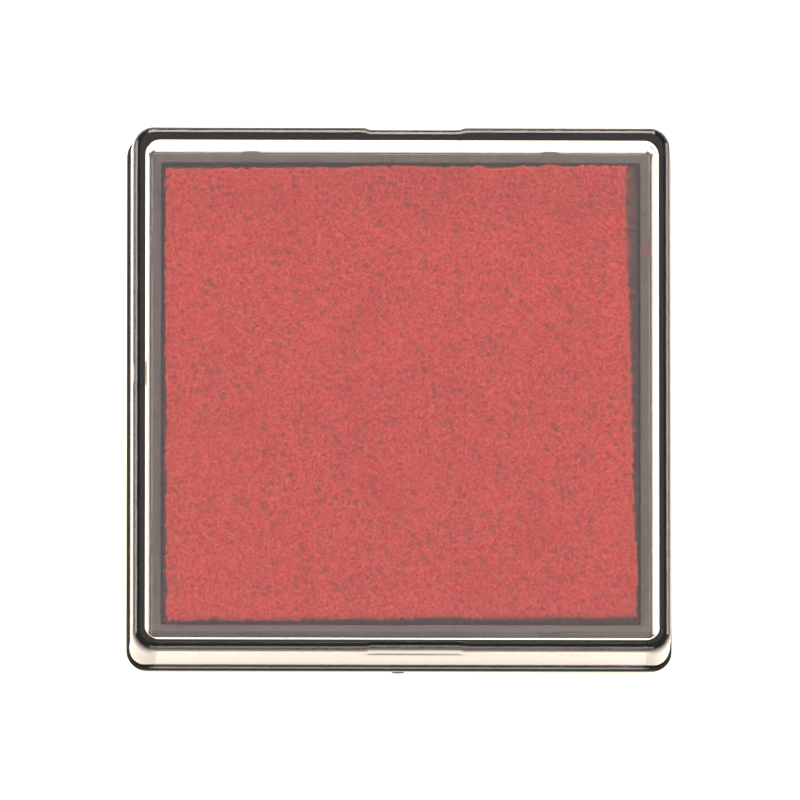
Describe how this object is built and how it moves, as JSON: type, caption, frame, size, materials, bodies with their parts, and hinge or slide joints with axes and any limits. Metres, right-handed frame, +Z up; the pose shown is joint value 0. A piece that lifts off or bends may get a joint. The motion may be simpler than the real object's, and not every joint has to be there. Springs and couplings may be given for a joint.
{
  "type": "ink pad",
  "caption": "Small square stamp ink pad: stepped black base tray, bonded red foam block and a clear cap that lifts straight off.",
  "frame": {"origin": "centre of the footprint, on the surface the base stands on", "axes": "+Z up, the way the lid lifts; -Y towards the front, +X to the right seen from the front"},
  "size_m": [0.0416, 0.041, 0.0162],
  "materials": {
    "black_plastic": "gloss",
    "adhesive": "satin",
    "inked_foam": "matte",
    "clear_plastic": "polished"
  },
  "bodies": {
    "base": {"base_tray": "black_plastic", "adhesive_film": "adhesive", "ink_foam": "inked_foam"},
    "lid": {"clear_lid": "clear_plastic"}
  },
  "joints": [
    {"name": "lid_lift", "type": "slide", "parent": "base", "child": "lid", "axis": [0, 0, 1], "range_m": [0, 0.025]}
  ]
}
